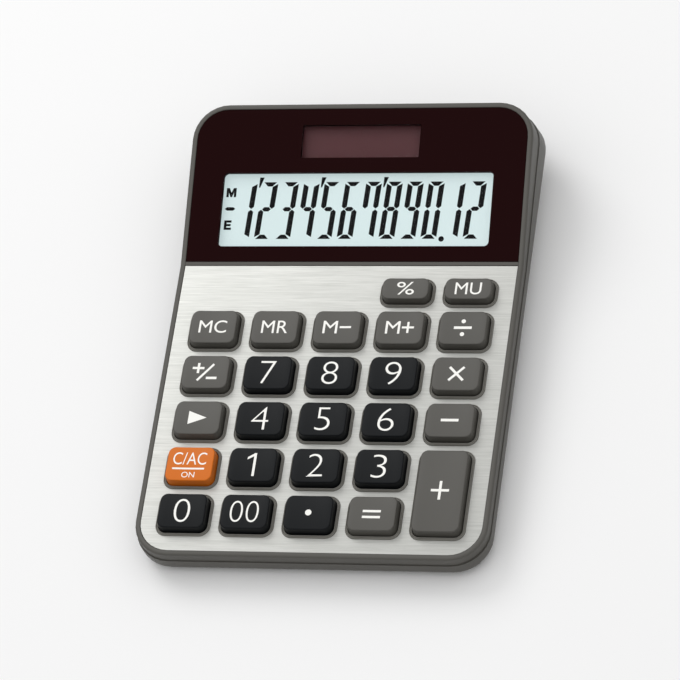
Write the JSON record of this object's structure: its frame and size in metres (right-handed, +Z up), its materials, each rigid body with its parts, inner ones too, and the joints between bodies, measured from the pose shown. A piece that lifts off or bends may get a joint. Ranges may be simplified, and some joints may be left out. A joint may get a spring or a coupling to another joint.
{
  "type": "desk calculator",
  "caption": "Compact calculator with a display tilted up behind the keypad, a solar cell, a brushed plate, keys that press and a battery cover that slides off.",
  "frame": {"origin": "centre of the outline seen from above, on the surface that the feet stand on", "axes": "+X to the user's right, +Y away from the user towards the display, +Z up"},
  "size_m": [0.107, 0.1516, 0.0293],
  "materials": {
    "case_plastic": "moulded dark grey plastic with a fine satin texture",
    "key_grey": "satin moulded plastic, warm grey",
    "key_black": "satin moulded plastic, blue black",
    "key_orange": "satin moulded plastic, orange",
    "face_metal": "thin anodised sheet, brushed from side to side",
    "window_acrylic": "clear polished acrylic",
    "mask_print": "dark red brown print on the back of the window",
    "lcd_film": "polarising film",
    "lcd_glass": "two bonded glass sheets",
    "lcd_backing": "pale grey green reflector film",
    "holder_plastic": "white moulded plastic",
    "ribbon_film": "amber printed film",
    "solar_glass": "amorphous silicon on glass, red brown",
    "wire_red": "red insulation",
    "wire_black": "black insulation",
    "board_laminate": "green solder mask",
    "chip_resin": "black potting resin",
    "mat_silicone": "translucent white silicone",
    "screw_steel": "zinc plated",
    "cell_steel": "nickel plated can",
    "contact_brass": "sprung brass strip",
    "foot_rubber": "black rubber"
  },
  "bodies": {
    "case": {"upper_case": "case_plastic", "face_plate": "face_metal", "display_window": "window_acrylic", "window_mask": "mask_print", "lcd_polariser": "lcd_film", "lcd_glass": "lcd_glass", "lcd_reflector": "lcd_backing", "lcd_holder": "holder_plastic", "lcd_ribbon": "ribbon_film", "solar_cell": "solar_glass", "solar_wires": "wire_red", "main_board": "board_laminate", "chip_cap": "chip_resin", "board_screws": "screw_steel", "keypad_mat": "mat_silicone", "lower_case": "case_plastic", "case_screws": "screw_steel", "button_cell": "cell_steel", "cell_contact_top": "contact_brass", "cell_contact_side": "contact_brass", "cell_wires": "wire_black", "rubber_feet": "foot_rubber"},
    "key_percent_cap": {"key_percent": "key_grey"},
    "key_mu_cap": {"key_mu": "key_grey"},
    "key_mc_cap": {"key_mc": "key_grey"},
    "key_mr_cap": {"key_mr": "key_grey"},
    "key_m_minus_cap": {"key_m_minus": "key_grey"},
    "key_m_plus_cap": {"key_m_plus": "key_grey"},
    "key_divide_cap": {"key_divide": "key_grey"},
    "key_sign_cap": {"key_sign": "key_grey"},
    "key_7_cap": {"key_7": "key_black"},
    "key_8_cap": {"key_8": "key_black"},
    "key_9_cap": {"key_9": "key_black"},
    "key_times_cap": {"key_times": "key_grey"},
    "key_backspace_cap": {"key_backspace": "key_grey"},
    "key_4_cap": {"key_4": "key_black"},
    "key_5_cap": {"key_5": "key_black"},
    "key_6_cap": {"key_6": "key_black"},
    "key_minus_cap": {"key_minus": "key_grey"},
    "key_clear_cap": {"key_clear": "key_orange"},
    "key_1_cap": {"key_1": "key_black"},
    "key_2_cap": {"key_2": "key_black"},
    "key_3_cap": {"key_3": "key_black"},
    "key_plus_cap": {"key_plus": "key_grey"},
    "key_0_cap": {"key_0": "key_black"},
    "key_00_cap": {"key_00": "key_black"},
    "key_point_cap": {"key_point": "key_black"},
    "key_equals_cap": {"key_equals": "key_grey"},
    "battery_door": {"battery_cover": "case_plastic"}
  },
  "joints": [
    {"name": "key_percent_press", "type": "slide", "parent": "case", "child": "key_percent_cap", "axis": [0, 0.0523, -0.9986], "range_m": [0, 0.0015], "stiffness_N_per_m": 300, "springref_m": -0.001, "deforming": ["keypad_mat"]},
    {"name": "key_mu_press", "type": "slide", "parent": "case", "child": "key_mu_cap", "axis": [0, 0.0523, -0.9986], "range_m": [0, 0.0015], "stiffness_N_per_m": 300, "springref_m": -0.001, "deforming": ["keypad_mat"]},
    {"name": "key_mc_press", "type": "slide", "parent": "case", "child": "key_mc_cap", "axis": [0, 0.0523, -0.9986], "range_m": [0, 0.0015], "stiffness_N_per_m": 300, "springref_m": -0.001, "deforming": ["keypad_mat"]},
    {"name": "key_mr_press", "type": "slide", "parent": "case", "child": "key_mr_cap", "axis": [0, 0.0523, -0.9986], "range_m": [0, 0.0015], "stiffness_N_per_m": 300, "springref_m": -0.001, "deforming": ["keypad_mat"]},
    {"name": "key_m_minus_press", "type": "slide", "parent": "case", "child": "key_m_minus_cap", "axis": [0, 0.0523, -0.9986], "range_m": [0, 0.0015], "stiffness_N_per_m": 300, "springref_m": -0.001, "deforming": ["keypad_mat"]},
    {"name": "key_m_plus_press", "type": "slide", "parent": "case", "child": "key_m_plus_cap", "axis": [0, 0.0523, -0.9986], "range_m": [0, 0.0015], "stiffness_N_per_m": 300, "springref_m": -0.001, "deforming": ["keypad_mat"]},
    {"name": "key_divide_press", "type": "slide", "parent": "case", "child": "key_divide_cap", "axis": [0, 0.0523, -0.9986], "range_m": [0, 0.0015], "stiffness_N_per_m": 300, "springref_m": -0.001, "deforming": ["keypad_mat"]},
    {"name": "key_sign_press", "type": "slide", "parent": "case", "child": "key_sign_cap", "axis": [0, 0.0523, -0.9986], "range_m": [0, 0.0015], "stiffness_N_per_m": 300, "springref_m": -0.001, "deforming": ["keypad_mat"]},
    {"name": "key_7_press", "type": "slide", "parent": "case", "child": "key_7_cap", "axis": [0, 0.0523, -0.9986], "range_m": [0, 0.0015], "stiffness_N_per_m": 300, "springref_m": -0.001, "deforming": ["keypad_mat"]},
    {"name": "key_8_press", "type": "slide", "parent": "case", "child": "key_8_cap", "axis": [0, 0.0523, -0.9986], "range_m": [0, 0.0015], "stiffness_N_per_m": 300, "springref_m": -0.001, "deforming": ["keypad_mat"]},
    {"name": "key_9_press", "type": "slide", "parent": "case", "child": "key_9_cap", "axis": [0, 0.0523, -0.9986], "range_m": [0, 0.0015], "stiffness_N_per_m": 300, "springref_m": -0.001, "deforming": ["keypad_mat"]},
    {"name": "key_times_press", "type": "slide", "parent": "case", "child": "key_times_cap", "axis": [0, 0.0523, -0.9986], "range_m": [0, 0.0015], "stiffness_N_per_m": 300, "springref_m": -0.001, "deforming": ["keypad_mat"]},
    {"name": "key_backspace_press", "type": "slide", "parent": "case", "child": "key_backspace_cap", "axis": [0, 0.0523, -0.9986], "range_m": [0, 0.0015], "stiffness_N_per_m": 300, "springref_m": -0.001, "deforming": ["keypad_mat"]},
    {"name": "key_4_press", "type": "slide", "parent": "case", "child": "key_4_cap", "axis": [0, 0.0523, -0.9986], "range_m": [0, 0.0015], "stiffness_N_per_m": 300, "springref_m": -0.001, "deforming": ["keypad_mat"]},
    {"name": "key_5_press", "type": "slide", "parent": "case", "child": "key_5_cap", "axis": [0, 0.0523, -0.9986], "range_m": [0, 0.0015], "stiffness_N_per_m": 300, "springref_m": -0.001, "deforming": ["keypad_mat"]},
    {"name": "key_6_press", "type": "slide", "parent": "case", "child": "key_6_cap", "axis": [0, 0.0523, -0.9986], "range_m": [0, 0.0015], "stiffness_N_per_m": 300, "springref_m": -0.001, "deforming": ["keypad_mat"]},
    {"name": "key_minus_press", "type": "slide", "parent": "case", "child": "key_minus_cap", "axis": [0, 0.0523, -0.9986], "range_m": [0, 0.0015], "stiffness_N_per_m": 300, "springref_m": -0.001, "deforming": ["keypad_mat"]},
    {"name": "key_clear_press", "type": "slide", "parent": "case", "child": "key_clear_cap", "axis": [0, 0.0523, -0.9986], "range_m": [0, 0.0015], "stiffness_N_per_m": 300, "springref_m": -0.001, "deforming": ["keypad_mat"]},
    {"name": "key_1_press", "type": "slide", "parent": "case", "child": "key_1_cap", "axis": [0, 0.0523, -0.9986], "range_m": [0, 0.0015], "stiffness_N_per_m": 300, "springref_m": -0.001, "deforming": ["keypad_mat"]},
    {"name": "key_2_press", "type": "slide", "parent": "case", "child": "key_2_cap", "axis": [0, 0.0523, -0.9986], "range_m": [0, 0.0015], "stiffness_N_per_m": 300, "springref_m": -0.001, "deforming": ["keypad_mat"]},
    {"name": "key_3_press", "type": "slide", "parent": "case", "child": "key_3_cap", "axis": [0, 0.0523, -0.9986], "range_m": [0, 0.0015], "stiffness_N_per_m": 300, "springref_m": -0.001, "deforming": ["keypad_mat"]},
    {"name": "key_plus_press", "type": "slide", "parent": "case", "child": "key_plus_cap", "axis": [0, 0.0523, -0.9986], "range_m": [0, 0.0015], "stiffness_N_per_m": 300, "springref_m": -0.001, "deforming": ["keypad_mat"]},
    {"name": "key_0_press", "type": "slide", "parent": "case", "child": "key_0_cap", "axis": [0, 0.0523, -0.9986], "range_m": [0, 0.0015], "stiffness_N_per_m": 300, "springref_m": -0.001, "deforming": ["keypad_mat"]},
    {"name": "key_00_press", "type": "slide", "parent": "case", "child": "key_00_cap", "axis": [0, 0.0523, -0.9986], "range_m": [0, 0.0015], "stiffness_N_per_m": 300, "springref_m": -0.001, "deforming": ["keypad_mat"]},
    {"name": "key_point_press", "type": "slide", "parent": "case", "child": "key_point_cap", "axis": [0, 0.0523, -0.9986], "range_m": [0, 0.0015], "stiffness_N_per_m": 300, "springref_m": -0.001, "deforming": ["keypad_mat"]},
    {"name": "key_equals_press", "type": "slide", "parent": "case", "child": "key_equals_cap", "axis": [0, 0.0523, -0.9986], "range_m": [0, 0.0015], "stiffness_N_per_m": 300, "springref_m": -0.001, "deforming": ["keypad_mat"]},
    {"name": "battery_cover_slide", "type": "slide", "parent": "case", "child": "battery_door", "axis": [0, 1, 0], "range_m": [0, 0.022]}
  ]
}
